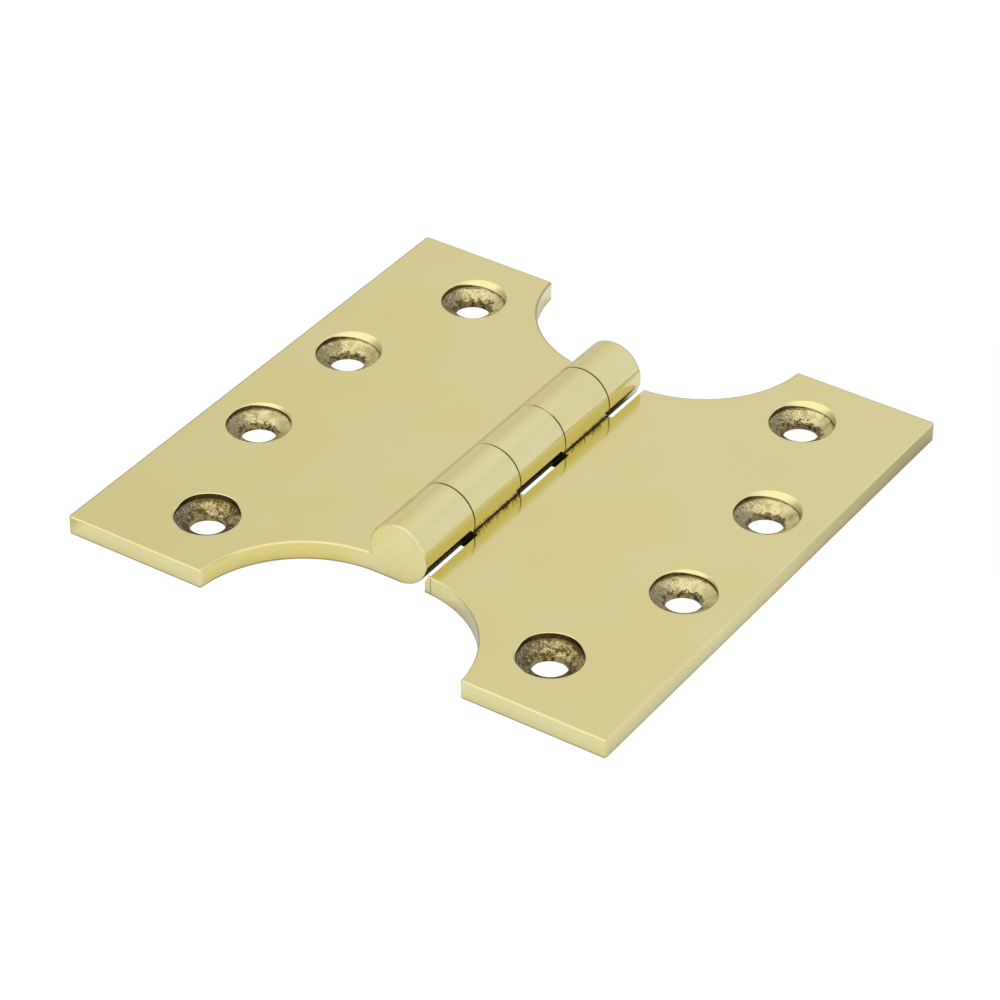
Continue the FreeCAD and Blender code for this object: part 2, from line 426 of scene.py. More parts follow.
# the countersunk seats, drilled a little out of square and worn by the polishing wheel
seatForm = {
    "mouth": 5.4 * mm,
    "hole": 3.0 * mm,
    "rimDepth": 0.8 * mm,
    "coneAngle": math.radians(122),
    "burr": 0.3 * mm,  # edge broken round the hole's foot
    "tilt": 0.27 * mm,
    "tiltLift": 0.18 * mm,
    "tiltSide": math.radians(305),
    "lipWidth": 0.15 * mm,
    "lipDepth": 0.09 * mm,
    "lipBend": 1.35,
    "lipStart": 0.001,  # any share of the lip at all
    "wornWidth": 0.85,  # times the depth that the wheel took off one side
    "wornSlope": 1.0 * mm,
    "wornDepth": (0.14 * mm, 0.66 * mm),  # in the near row and in the far row
    "wornStart": 0.3,  # share of the far row's depth that the row after the near one has
    "nearSide": math.radians(205),
    "farSide": math.radians(87),
    "sideSpread": math.radians(7),
    "widthTurn": math.radians(28),  # the lip is widest this far on from where it is deepest
    "pull": (0.62 * mm, 0.24 * mm),  # how far the wheel pulled the mouth out, near and far
    "pullSide": math.radians(120),
    "pullFrom": 0.35,  # cosine of the widest angle to that side that is still pulled
    "conePull": 0.6,  # share of the pull at the cone's top
    "seed": 4,
    "steps": 144,
    "lipSteps": 6,
}
seatForm["coneTop"] = leafForm["thickness"] - seatForm["rimDepth"]
seatForm["coneFoot"] = seatForm["coneTop"] - (
    (seatForm["mouth"] - seatForm["hole"]) / math.tan(seatForm["coneAngle"] / 2))


def seatStamp(form):
    # the drill's shape, ring by ring; each ring also says how far it gives way to wear and tilt
    foot, top = form["coneFoot"], leafForm["thickness"]
    rows = [  # radius, height, lip's width, lip's depth, mouth's pull, tilt
        (form["hole"] + form["burr"], -overcut, 0, 0, 0, 0),
        (form["hole"] + form["burr"], 0, 0, 0, 0, 0),
        (form["hole"], form["burr"], 0, 0, 0, 0),
        (form["hole"], foot, 0, 0, 0, 1),
        (form["mouth"], form["coneTop"], 0, 0, form["conePull"], 0),
    ]
    for step in range(form["lipSteps"] + 1):
        share = step / form["lipSteps"]
        rows.append((form["mouth"], top, share, (1 - share)**form["lipBend"], 1, 0))
    rows.append((form["mouth"], top + overcut, 1, 0, 1, 0))
    angles = [2 * math.pi * step / form["steps"] for step in range(form["steps"])]
    rings = [[(row[0] * math.cos(a), row[0] * math.sin(a), row[1]) for a in angles] for row in rows]
    stamp = ringSolid("seatStamp", rings, None)
    for column, name in enumerate(("lipOut", "lipDown", "pullOut", "tiltUp")):
        layer = stamp.data.attributes.new(name, "FLOAT", "POINT")
        layer.data.foreach_set("value", [float(row[column + 2]) for row in rows for a in angles])
    return stamp


def seatSettings(form, patina):
    # what the tree of the seats can be told, by the names of its inputs
    return {
        "Stamp": seatStamp(form), "Lip Width": form["lipWidth"], "Lip Depth": form["lipDepth"],
        "Lip Start": form["lipStart"], "Worn Width": form["wornWidth"],
        "Worn Slope": form["wornSlope"], "Worn Start": form["wornStart"],
        "Near Depth": form["wornDepth"][0], "Far Depth": form["wornDepth"][1],
        "Near Row": -screwRows["middle"][1] - 1 * mm, "Far Row": screwRows["middle"][1],
        "Near Side": form["nearSide"], "Far Side": form["farSide"],
        "Side Spread": form["sideSpread"], "Width Turn": form["widthTurn"],
        "Pull Side": form["pullSide"], "Pull From": form["pullFrom"],
        "Near Pull": form["pull"][0], "Far Pull": form["pull"][1],
        "Tilt": form["tilt"], "Tilt Lift": form["tiltLift"], "Tilt Side": form["tiltSide"],
        "Seed": form["seed"], "Patina": patina,
    }


def toldMarks(tree, given):
    # each screw mark is told how deep its wear goes, to which side, and how far its mouth is pulled
    position = addNode(tree, "GeometryNodeInputPosition").outputs[0]
    along = splitVector(tree, position)["Y"]
    isNear = isUnder(tree, along, given["Near Row"])
    toFar = addNode(tree, "ShaderNodeMapRange", {
        "Value": along, "From Min": given["Near Row"], "From Max": given["Far Row"],
        "To Min": given["Worn Start"], "To Max": 1.0}).outputs["Result"]
    random = addNode(tree, "FunctionNodeRandomValue", {2: -1.0, "Seed": given["Seed"]},
                     data_type="FLOAT").outputs[1]
    side = plus(tree, times(tree, random, given["Side Spread"]),
                blendValues(tree, isNear, given["Far Side"], given["Near Side"]))
    depth = blendValues(tree, toFar, given["Near Depth"], given["Far Depth"])
    depth = blendValues(tree, isNear, depth, given["Near Depth"])
    pull = blendValues(tree, isNear, given["Far Pull"], given["Near Pull"])
    marks = given["Marks"]
    for name, value in (("seatSide", side), ("seatWear", depth), ("seatPull", pull),
                        ("seatCentre", position)):
        kind = "FLOAT_VECTOR" if name == "seatCentre" else "FLOAT"
        marks = addNode(tree, "GeometryNodeStoreNamedAttribute", {
            "Geometry": marks, "Name": name, "Value": value}, data_type=kind).outputs[0]
    return marks


def storedValues(tree):
    names = ("seatSide", "seatWear", "seatPull", "lipOut", "lipDown", "pullOut", "tiltUp")
    stored = {name: addNode(tree, "GeometryNodeInputNamedAttribute", {"Name": name},
                            data_type="FLOAT").outputs[0] for name in names}
    stored["seatCentre"] = addNode(tree, "GeometryNodeInputNamedAttribute", {"Name": "seatCentre"},
                                   data_type="FLOAT_VECTOR").outputs[0]
    return stored


def seatMove(tree, given, stored):
    # how each point of a seat moves: out for lip and pull, up or down for lip and tilt
    position = addNode(tree, "GeometryNodeInputPosition").outputs[0]
    away = vectorNode(tree, "SUBTRACT", position, stored["seatCentre"])
    flat = vectorNode(tree, "MULTIPLY", away, (1, 1, 0))
    outward = addNode(tree, "ShaderNodeVectorMath", {0: flat}, operation="NORMALIZE").outputs[0]

    def facing(angle):
        return dot(tree, outward, addNode(tree, "ShaderNodeCombineXYZ", {
            "X": mathNode(tree, "COSINE", angle), "Y": mathNode(tree, "SINE", angle)}).outputs[0])

    def wearTowards(angle):
        lost = times(tree, minus(tree, 1.0, facing(angle)), given["Worn Slope"])
        return largest(tree, minus(tree, stored["seatWear"], lost), 0.0)

    worn = wearTowards(stored["seatSide"])
    wornOut = wearTowards(plus(tree, stored["seatSide"], given["Width Turn"]))
    width = ramp(tree, plus(tree, worn, wornOut), given["Worn Width"], given["Lip Width"])
    pulled = times(tree, spread(tree, facing(given["Pull Side"]), given["Pull From"], 1.0),
                   stored["seatPull"], stored["pullOut"])
    out = ramp(tree, width, stored["lipOut"], pulled)
    tilt = ramp(tree, facing(given["Tilt Side"]), given["Tilt"], given["Tilt Lift"])
    down = times(tree, plus(tree, worn, given["Lip Depth"]), stored["lipDown"])
    rise = minus(tree, times(tree, tilt, stored["tiltUp"]), down)
    moveOut = addNode(tree, "ShaderNodeVectorMath", {0: outward, "Scale": out}, operation="SCALE")
    moveUp = addNode(tree, "ShaderNodeCombineXYZ", {"Z": rise})
    return vectorNode(tree, "ADD", moveOut.outputs[0], moveUp.outputs[0])


def seatRow(form, patina):
    # sets the drill's shape at each screw mark, and wears the mouth of each a little differently
    tree = bpy.data.node_groups.new("seatRow", "GeometryNodeTree")
    settings = seatSettings(form, patina)
    kinds = {"Stamp": "Object", "Seed": "Int", "Patina": "Material"}
    tree.interface.new_socket("Marks", in_out="INPUT", socket_type="NodeSocketGeometry")
    for name in settings:
        kind = "NodeSocket" + kinds.get(name, "Float")
        tree.interface.new_socket(name, in_out="INPUT", socket_type=kind)
    tree.interface.new_socket("Polish", in_out="INPUT", socket_type="NodeSocketMaterial")
    tree.interface.new_socket("Seats", in_out="OUTPUT", socket_type="NodeSocketGeometry")
    given = addNode(tree, "NodeGroupInput").outputs
    stamp = addNode(tree, "GeometryNodeObjectInfo", {"Object": given["Stamp"]}).outputs["Geometry"]
    placed = addNode(tree, "GeometryNodeInstanceOnPoints", {
        "Points": toldMarks(tree, given), "Instance": stamp}).outputs[0]
    solid = addNode(tree, "GeometryNodeRealizeInstances", {"Geometry": placed}).outputs[0]
    stored = storedValues(tree)
    shaped = addNode(tree, "GeometryNodeSetPosition", {
        "Geometry": solid, "Offset": seatMove(tree, given, stored)}).outputs[0]
    dull = addNode(tree, "GeometryNodeSetMaterial", {
        "Geometry": shaped, "Material": given["Patina"]}).outputs[0]
    bright = addNode(tree, "GeometryNodeSetMaterial", {
        "Geometry": dull, "Selection": isOver(tree, stored["lipOut"], given["Lip Start"]),
        "Material": given["Polish"]}).outputs[0]
    addNode(tree, "NodeGroupOutput", {"Seats": bright})
    return tree, settings


def screwMarks(side):
    return [(side * across, end * along, 0) for across, along in screwRows.values() for end in (-1, 1)]


def seatTools(side, brass, tree, settings):
    mesh = bpy.data.meshes.new("screwMarks")
    mesh.from_pydata(screwMarks(side), [], [])
    marks = meshObject("screwMarks", mesh)
    seats = marks.modifiers.new("seats", "NODES")
    seats.node_group = tree
    for item in tree.interface.items_tree:
        if item.name in settings:
            seats[item.identifier] = settings[item.name]
        elif item.name == "Polish":
            seats[item.identifier] = brass
    bpy.context.view_layer.update()
    tools = meshObject("seatTools", plainMesh(marks, "seatTools"))
    bpy.data.objects.remove(marks)
    return tools


def finishSurface(obj):
    # smooth where the metal is rounded, sharp where it was cut
    for polygon in obj.data.polygons:
        polygon.use_smooth = True
    obj.data.set_sharp_from_angle(angle=leafForm["sharpFrom"])
    weighted = obj.modifiers.new("evenShading", "WEIGHTED_NORMAL")
    weighted.keep_sharp = True


def buildLeaf(name, side, knuckles, boreRadius, seats, brass, sawn):
    plate = plateSolid(name + "Plate", leafForm, side, brass)
    rolled = [knuckleSolid(number, barrelForm, brass) for number in knuckles]
    slots = slotTools(side, barrelForm, sawn)
    past = barrelEnd + leafForm["thickness"]
    bore = turnedSolid("bore", [(-past, boreRadius), (past, boreRadius)], barrelForm["boreSteps"],
                       sawn, alongPin)
    trims = cornerBlocks(cornerForm, brass) if side < 0 else []
    cuts = [bore] + creaseTools(side, knuckles, creaseForm, sawn)
    if side > 0:
        cuts.append(seamTool(seamForm, sawn))
    cuts.append(seatTools(side, brass, *seats))
    for operation, tools in (("DIFFERENCE", slots), ("UNION", rolled + trims), ("DIFFERENCE", cuts)):
        for tool in tools:
            carve(plate, tool, operation)
    leaf = meshObject(name, plainMesh(plate, name))
    for used in [plate] + slots + rolled + trims + cuts:
        bpy.data.objects.remove(used)
    finishSurface(leaf)
    print(name, "built:", len(leaf.data.polygons), "faces,", len(leaf.data.materials), "finishes")
    return leaf


# what every finish starts and ends with
def newMaterial(name):
    material = bpy.data.materials.new(name)
    material.use_nodes = True
    material.node_tree.nodes.clear()
    return material, material.node_tree


def surfaceSpot(tree):
    # where a point of the surface lies, and which way it faces
    coordinates = addNode(tree, "ShaderNodeTexCoord").outputs
    split = splitVector(tree, coordinates["Object"])
    return {"place": coordinates["Object"], "x": split["X"], "y": split["Y"], "z": split["Z"],
            "facing": splitVector(tree, coordinates["Normal"])}


def metalShader(tree, colour, rough, normal):
    shader = addNode(tree, "ShaderNodeBsdfPrincipled", {
        "Metallic": 1.0, "Base Color": colour, "Roughness": rough, "Normal": normal})
    addNode(tree, "ShaderNodeOutputMaterial", {"Surface": shader.outputs[0]})


# polished brass of the leaves; a range is where a noise sets in and where it is full
brassLook = {
    "base": (0.790, 0.700, 0.262),
    "warm": (0.783, 0.686, 0.246),
    "cloudSize": 16 * mm,
    "cloudRange": (0.35, 0.70),
    "roughness": (0.11, 0.17),
    "smearSize": 7 * mm,
    "smearLength": 2.5,  # times its width, along the pin, as the two lengths below
    "smearRange": (0.25, 0.75),
    "streak": (0.760, 0.665, 0.205),
    "streakPitch": 1.1 * mm,
    "streakLength": 22,
    "streakRange": (0.40, 0.70),
    "streakShare": 0.75,
    "linePitch": 0.11 * mm,
    "lineLength": 60,
    "lineDepth": 0.0005 * mm,
    "waveSize": 9 * mm,
    "waveDepth": 0.012 * mm,
    "skin": 0.06 * mm,  # what lies this close to the barrel's round is on it
    "plateSkin": 0.01 * mm,
    "grimeRoughness": 0.3,
}


def polishedColour(tree, spot, look):
    cloud = noise(tree, spot["place"], look["cloudSize"], detail=3.0)
    colour = mixColour(tree, spread(tree, cloud, *look["cloudRange"]), look["base"], look["warm"])

    # the knuckles were polished lengthwise, which left soft streaks
    streaks = noise(tree, spot["place"], look["streakPitch"], stretch=(1, look["streakLength"], 1),
                    detail=3.0, shift=4.6)
    streaks = spread(tree, streaks, *look["streakRange"], 0.0, look["streakShare"])
    return mixColour(tree, times(tree, streaks, spot["onBarrel"]), colour, look["streak"])


def polishedRoughness(tree, spot, look):
    smear = noise(tree, spot["place"], look["smearSize"], stretch=(1, look["smearLength"], 1),
                  detail=4.0, shift=3.1)
    return spread(tree, smear, *look["smearRange"], *look["roughness"])


def polishedGrain(tree, spot, look):
    wave = noise(tree, spot["place"], look["waveSize"], detail=1.0, shift=7.7)
    waves = addNode(tree, "ShaderNodeBump", {"Height": wave, "Distance": look["waveDepth"]})
    lines = noise(tree, spot["place"], look["linePitch"], stretch=(1, look["lineLength"], 1))
    return addNode(tree, "ShaderNodeBump", {
        "Height": lines, "Distance": look["lineDepth"], "Normal": waves.outputs[0]}).outputs[0]


# scratchy grime in the corner where the plate runs into its knuckles, with a painted shade line along the crease
# itself
creaseGrimeAndShadeLook = {
    "tone": (0.085, 0.056, 0.012),
    "hairPitch": 0.42 * mm,
    "hairLength": 4,  # times its pitch, across the pin
    "hairRange": (0.40, 0.68),
    "patchSize": 4.5 * mm,  # the hairs stand in patches
    "patchRange": (0.36, 0.60),
    "raggedRange": (0.0, 0.6),
    "reach": (0.18 * mm, 1.7 * mm),
    "plateReach": 0.45,  # share of that reach out on the plate
    "plateStep": 0.08 * mm,
    "hairFade": (1.3, 0.1),  # gone and full, in shares of the reach
    "hairShare": 0.85,
    "line": (0.27 * mm, 0.162 * mm),  # gone and full, from the corner
    "lineShare": 0.92,
    "endClear": 0.4 * mm,
}


def creaseGrimeAndShade(tree, spot, side, look):
    away = distance(tree, spot["x"], side * creaseForm["across"], spot["z"], creaseForm["height"])
    hairs = noise(tree, spot["place"], look["hairPitch"], detail=4.0, roughness=0.7,
                  stretch=(look["hairLength"], 1, look["hairLength"]))
    patches = noise(tree, spot["place"], look["patchSize"], detail=1.0, shift=2.3)
    ragged = times(tree, spread(tree, hairs, *look["hairRange"]),
                   spread(tree, patches, *look["patchRange"]))
    upBarrel = spread(tree, spot["z"], creaseForm["height"], creaseForm["height"] + look["plateStep"],
                      look["plateReach"], 1.0)
    reach = times(tree, spread(tree, ragged, *look["raggedRange"], *look["reach"]), upBarrel)
    smudge = spread(tree, mathNode(tree, "DIVIDE", away, reach), *look["hairFade"],
                    0.0, look["hairShare"])
    # a steady dark line along the crease: painted shade
    line = spread(tree, away, *look["line"], 0.0, look["lineShare"])
    between = isUnder(tree, size(tree, spot["y"]), barrelEnd - look["endClear"])
    return times(tree, largest(tree, smudge, line), between)


# oil and dust drawn into the joints between the knuckles
jointLook = {
    "tone": (0.125, 0.094, 0.016),
    "share": 0.9,
    "width": (-0.02 * mm, 0.12 * mm),
    "edge": 0.09 * mm,
    "thickSize": 3.0 * mm,
    "thickRange": (0.30, 0.65),
    "rightBand": 3 * mm,  # thicker to the right of the crown
    "rightMore": 0.14,
    "outerBand": (8 * mm, 12 * mm),  # and in the first and the last joint
    "outerMore": 0.2,
    "beyond": 1 * mm,
}


def jointGrime(tree, spot, look):
    turns = mathNode(tree, "DIVIDE", minus(tree, spot["y"], jointLine(1)), barrelForm["pitch"])
    toJoint = size(tree, minus(tree, turns, mathNode(tree, "ROUND", turns)))
    toJoint = times(tree, toJoint, barrelForm["pitch"])
    middle = (jointLine(1) + jointLine(4)) / 2
    fromMiddle = size(tree, minus(tree, spot["y"], middle))
    thick = noise(tree, spot["place"], look["thickSize"], shift=6.1)
    thick = plus(tree, thick, spread(tree, spot["x"], -look["rightBand"], look["rightBand"],
                                     -look["rightMore"], look["rightMore"]))
    thick = plus(tree, thick, spread(tree, fromMiddle, *look["outerBand"], 0.0, look["outerMore"]))
    width = spread(tree, thick, *look["thickRange"], *look["width"])
    inJoint = spread(tree, minus(tree, toJoint, width), look["edge"], 0.0)
    amongJoints = isUnder(tree, fromMiddle, middle - jointLine(1) + look["beyond"])
    return times(tree, inJoint, amongJoints, spot["onBarrel"])


# the knuckles' flanks down in the other leaf's slots, which the wheel never reached, darkened further as painted
# shade for the dark slot that they mirror
flankShadeLook = {
    "tone": (0.36, 0.25, 0.075),
    "share": 0.85,
    "fade": (0.1 * mm, -0.5 * mm),  # from the plate's top
    "across": 3 * mm,
    "endClear": 0.3 * mm,
}


def paintedFlankShade(tree, spot, side, look):
    low = spread(tree, spot["z"], *[creaseForm["height"] + step for step in look["fade"]])
    across = isUnder(tree, times(tree, spot["x"], side), look["across"])
    inside = isUnder(tree, size(tree, spot["y"]), barrelEnd - look["endClear"])
    return times(tree, low, across, inside, spot["onBarrel"])


# painted shade: rims turned to the left or away are darkened, with a dark line along the far edges and notches,
# for the dim floor that they mirror
rimShadeLook = {
    "tone": (0.38, 0.33, 0.12),
    "share": 0.9,
    "barrelLeft": (0.62, 0.74),  # how far a rim turns to its side before it is dull
    "plateLeft": (0.2, 0.6),
    "farSide": (0.2, 0.6),
    "upward": (0.02, 0.2),  # a wall has no rim
    "line": (0.42 * mm, 0.28 * mm),
    "lineShare": 0.85,
    "offBarrel": (0.06 * mm, 0.10 * mm),
}


def paintedRimShade(tree, spot, side, look):
    toLeft = times(tree, spot["facing"]["X"], -1.0)
    leftRim = blendValues(tree, spot["onPlate"], spread(tree, toLeft, *look["barrelLeft"]),
                          spread(tree, toLeft, *look["plateLeft"]))
    farRim = spread(tree, spot["facing"]["Y"], *look["farSide"])

    # the line keeps to the far edge, the notches, the left leaf's long side and the barrel's far end
    notchY = barrelEnd + leafForm["notchRadius"]
    fromNotch = distance(tree, times(tree, spot["x"], side), leafForm["notchOffset"], spot["y"], notchY)
    edges = [minus(tree, leafEnd, spot["y"]), minus(tree, fromNotch, leafForm["notchRadius"])]
    if side < 0:
        edges.append(plus(tree, spot["x"], leafReach))
    offBarrel = spread(tree, spot["fromPin"], *[barrelRadius + step for step in look["offBarrel"]],
                       0.0, 2 * leafEnd)
    edges.append(plus(tree, minus(tree, barrelEnd, spot["y"]), offBarrel))
    line = spread(tree, fold(tree, "MINIMUM", *edges), *look["line"], 0.0, look["lineShare"])
    upward = spread(tree, spot["facing"]["Z"], *look["upward"], 0.0, look["share"])
    return times(tree, largest(tree, leftRim, farRim, line), upward)


# lower walls, darker and yellower towards the table, and a painted contact shadow along the foot; the underside
# stays plain
footShadeLook = {
    "wall": (0.70, 0.59, 0.20),
    "wallHeight": (2.6 * mm, 0.4 * mm),
    "wallShare": 0.3,
    "grimeAndShade": (0.085, 0.056, 0.012),
    "contactShadeHeight": (0.55 * mm, 0.26 * mm),
    "contactShadeShare": 0.55,
    "upright": (-0.85, -0.60),
}


def footToneAndShade(tree, spot, look):
    upright = spread(tree, spot["facing"]["Z"], *look["upright"])
    wall = spread(tree, spot["z"], *look["wallHeight"], 0.0, look["wallShare"])
    grimeAndShade = spread(tree, spot["z"], *look["contactShadeHeight"], 0.0, look["contactShadeShare"])
    return ((times(tree, spot["onPlate"], upright, wall), look["wall"]),
            (times(tree, grimeAndShade, upright), look["grimeAndShade"]))


def brassFinish(name, side):
    material, tree = newMaterial(name)
    spot = surfaceSpot(tree)
    spot["fromPin"] = distance(tree, spot["x"], 0.0, spot["z"], pinHeight)
    spot["onBarrel"] = isUnder(tree, spot["fromPin"], barrelRadius + brassLook["skin"])
    spot["onPlate"] = isUnder(tree, spot["z"], leafForm["thickness"] + brassLook["plateSkin"])
    joint = jointGrime(tree, spot, jointLook)
    corner = creaseGrimeAndShade(tree, spot, side, creaseGrimeAndShadeLook)
    flankShade = paintedFlankShade(tree, spot, side, flankShadeLook)
    colour = layered(
        tree, polishedColour(tree, spot, brassLook),
        (times(tree, joint, jointLook["share"]), jointLook["tone"]),
        # grime, with a painted shade line in the crease
        (corner, creaseGrimeAndShadeLook["tone"]),
        # painted shade on the flanks down in the slots
        (times(tree, flankShade, flankShadeLook["share"]), flankShadeLook["tone"]),
        # painted shade on rims turned left or away, and along the far edges
        (paintedRimShade(tree, spot, side, rimShadeLook), rimShadeLook["tone"]),
        # lower walls darker towards the table, and a painted contact shadow along the foot
        *footToneAndShade(tree, spot, footShadeLook))
    grimeAndShade = times(tree, largest(tree, corner, joint, flankShade), brassLook["grimeRoughness"])
    rough = plus(tree, polishedRoughness(tree, spot, brassLook), grimeAndShade)
    metalShader(tree, colour, rough, polishedGrain(tree, spot, brassLook))
    return material


# tarnish in the screws' seats, each seat with its own share
seatLook = {
    "clean": (0.70, 0.62, 0.25),
    "olive": (0.47, 0.39, 0.12),
    "oliveRange": (0.42, 0.72),
    "tan": (0.44, 0.32, 0.095),
    "tanRange": (0.35, 0.62),
    "tanShare": (0.04, 0.90),  # elsewhere and in the near pair
    "tanLeast": 0.35,
    "roughness": (0.24, 0.50),
    "patchSize": 2.0 * mm,
    "tintSize": 1.6 * mm,
    "raggedSize": 0.9 * mm,
    "speckSize": 0.25 * mm,
    "speckDepth": 0.02 * mm,
    "middleDirt": 0.34,
    "endDirt": 0.70,
    "nearDirt": 0.26,
    "frontDirt": 0.06,
    "filmSide": math.radians(208),  # seen from above
    "sootSide": math.radians(66),
    "rowFade": 1 * mm,
}


def seatSpot(tree, look):
    # which seat a point is in: the end pairs lie nearer to the pin than the middle pairs
    spot = surfaceSpot(tree)
    halfway = (screwRows["end"][1] + screwRows["middle"][1]) / 2
    atEnd = isOver(tree, size(tree, spot["y"]), halfway)
    over = []
    for axis, value in enumerate((spot["x"], spot["y"])):
        first, second = screwRows["middle"][axis], screwRows["end"][axis]
        centre = times(tree, ramp(tree, atEnd, second - first, first), mathNode(tree, "SIGN", value))
        over.append(minus(tree, value, centre))
    radius = distance(tree, over[0], 0.0, over[1], 0.0)
    spot["fromHole"] = minus(tree, radius, seatForm["hole"])
    spot["fromRim"] = minus(tree, seatForm["mouth"], radius)
    for name in ("filmSide", "sootSide"):
        along = plus(tree, times(tree, over[0], math.cos(look[name])),
                     times(tree, over[1], math.sin(look[name])))
        spot[name] = mathNode(tree, "DIVIDE", along, radius)
    spot["atNear"] = spread(tree, spot["y"], look["rowFade"] - halfway, -halfway - look["rowFade"])
    dirt = blendValues(tree, atEnd, look["middleDirt"], look["endDirt"])
    dirt = ramp(tree, spot["atNear"], look["nearDirt"], dirt)
    spot["dirt"] = ramp(tree, isUnder(tree, spot["y"], 0.0), look["frontDirt"], dirt)

    # the noises that all its layers share
    place = spot["place"]
    spot["patches"] = noise(tree, place, look["patchSize"], detail=5.0, roughness=0.65)
    spot["tint"] = noise(tree, place, look["tintSize"], detail=4.0, roughness=0.6, shift=5.3)
    spot["ragged"] = noise(tree, place, look["raggedSize"], detail=4.0, roughness=0.7, shift=8.4)
    spot["fine"] = noise(tree, place, look["speckSize"], detail=3.0, roughness=0.6, shift=1.9)
    return spot


def byRow(tree, spot, shares):
    # the first share elsewhere, the second in the near pair
    return ramp(tree, spot["atNear"], shares[1] - shares[0], shares[0])


def coneColour(tree, spot, look):
    olive = spread(tree, spot["tint"], *look["oliveRange"])
    tan = times(tree, spread(tree, spot["ragged"], *look["tanRange"], look["tanLeast"], 1.0),
                byRow(tree, spot, look["tanShare"]))
    return layered(tree, look["clean"], (olive, look["olive"]), (tan, look["tan"]))


# a brown film, chalky where it is thick; its gathering on the side away from the light in every seat is painted
# shade
filmLook = {
    "tone": (0.38, 0.295, 0.100),
    "chalk": (0.42, 0.36, 0.165),
    "share": 0.9,
    "range": (0.58, 0.82),
    "chalkRange": (0.74, 0.86),
    "chalkNear": 0.06,
    "bySide": 0.30,
    "byDirt": 0.04,
    "grain": 0.22,
}


def brownFilm(tree, spot, look):
    thick = plus(tree, spot["patches"], times(tree, minus(tree, spot["fine"], 0.5), look["grain"]))
    # thicker towards the film side in every seat: painted shade
    thick = ramp(tree, spot["filmSide"], look["bySide"], thick)
    film = spread(tree, ramp(tree, spot["dirt"], look["byDirt"], thick), *look["range"])
    chalk = spread(tree, ramp(tree, spot["atNear"], look["chalkNear"], thick), *look["chalkRange"])
    return film, mixColour(tree, chalk, look["tone"], look["chalk"])


# rusty blotches opposite, in the near pair
rustLook = {
    "tone": (0.27, 0.175, 0.040),
    "range": (0.46, 0.68),
    "share": (0.08, 0.83),
    "bySide": -0.2,
    "grain": 0.5,
    "fineRange": (0.36, 0.56),
    "fineLeast": 0.35,
}


def rustBlotches(tree, spot, look):
    blotch = plus(tree, spot["tint"], times(tree, minus(tree, spot["ragged"], 0.5), look["grain"]))
    blotch = ramp(tree, spot["filmSide"], look["bySide"], blotch)
    rust = times(tree, spread(tree, blotch, *look["range"]), byRow(tree, spot, look["share"]))
    return times(tree, rust, spread(tree, spot["fine"], *look["fineRange"], look["fineLeast"], 1.0))


# specks, thickest in a dirty seat, and crusts round the hole and under the rim
crustLook = {
    "tone": (0.072, 0.049, 0.012),
    "speckRange": (0.79, 0.90),
    "speckShare": 0.8,
    "byDirt": 0.15,
    "byRagged": 0.34,
    "bySide": 0.06,
    "reach": (0.05 * mm, 1.7 * mm),
    "reachRange": (0.43, 0.62),
    "fineRange": (0.3, 0.6),
    "fineLeast": 0.7,
    "holeEdge": (0.12 * mm, -0.05 * mm),
    "holeShare": 0.85,
    "rimReach": -0.16,
    "rimEdge": (0.15 * mm, -0.05 * mm),
    "rimStart": (-0.10 * mm, -0.03 * mm),
    "rimShare": 0.8,
    "sootSide": (0.90, 1.00),  # cosines to that side
    "sootReach": 0.9 * mm,
    "sootRange": (0.36, 0.56),
    "sootLeast": 0.3,
    "sootEdge": (0.05 * mm, -0.25 * mm),
    "sootShare": 0.9,
}


def darkCrusts(tree, spot, look):
    crowd = ramp(tree, spot["dirt"], look["byDirt"], times(tree, spot["ragged"], look["byRagged"]))
    crowd = plus(tree, ramp(tree, spot["filmSide"], look["bySide"], crowd), spot["fine"])
    specks = spread(tree, crowd, *look["speckRange"], 0.0, look["speckShare"])
    reach = times(tree, spread(tree, spot["ragged"], *look["reachRange"], *look["reach"]), spot["dirt"])
    reach = times(tree, reach, spread(tree, spot["fine"], *look["fineRange"], look["fineLeast"], 1.0))
    roundHole = spread(tree, minus(tree, spot["fromHole"], reach), *look["holeEdge"],
                       0.0, look["holeShare"])
    underRim = spread(tree, ramp(tree, reach, look["rimReach"], spot["fromRim"]), *look["rimEdge"],
                      0.0, look["rimShare"])
    underRim = times(tree, underRim, spread(tree, spot["fromRim"], *look["rimStart"]))
    soot = times(tree, spread(tree, spot["sootSide"], *look["sootSide"], 0.0, look["sootReach"]),
                 spot["atNear"], spread(tree, spot["ragged"], *look["sootRange"], look["sootLeast"], 1.0))
    soot = spread(tree, minus(tree, spot["fromRim"], soot), *look["sootEdge"], 0.0, look["sootShare"])
    return largest(tree, specks, roundHole, underRim, soot)


# the straight rim is brown to black, tarnish and painted shade for the dark that it mirrors down the hole; the
# drilled hole olive and blotched
drillLook = {
    "rim": (0.24, 0.165, 0.035),
    "rimUpright": (0.75, 0.60),
    "rimInside": (0.35 * mm, 0.30 * mm),
    "rimRange": (0.42, 0.66),
    "rimNear": 0.16,
    "hole": (0.52, 0.39, 0.105),
    "holeEdge": (0.04 * mm, 0.01 * mm),
    "darkRange": (0.44, 0.60),
    "filmRange": (0.52, 0.66),
}


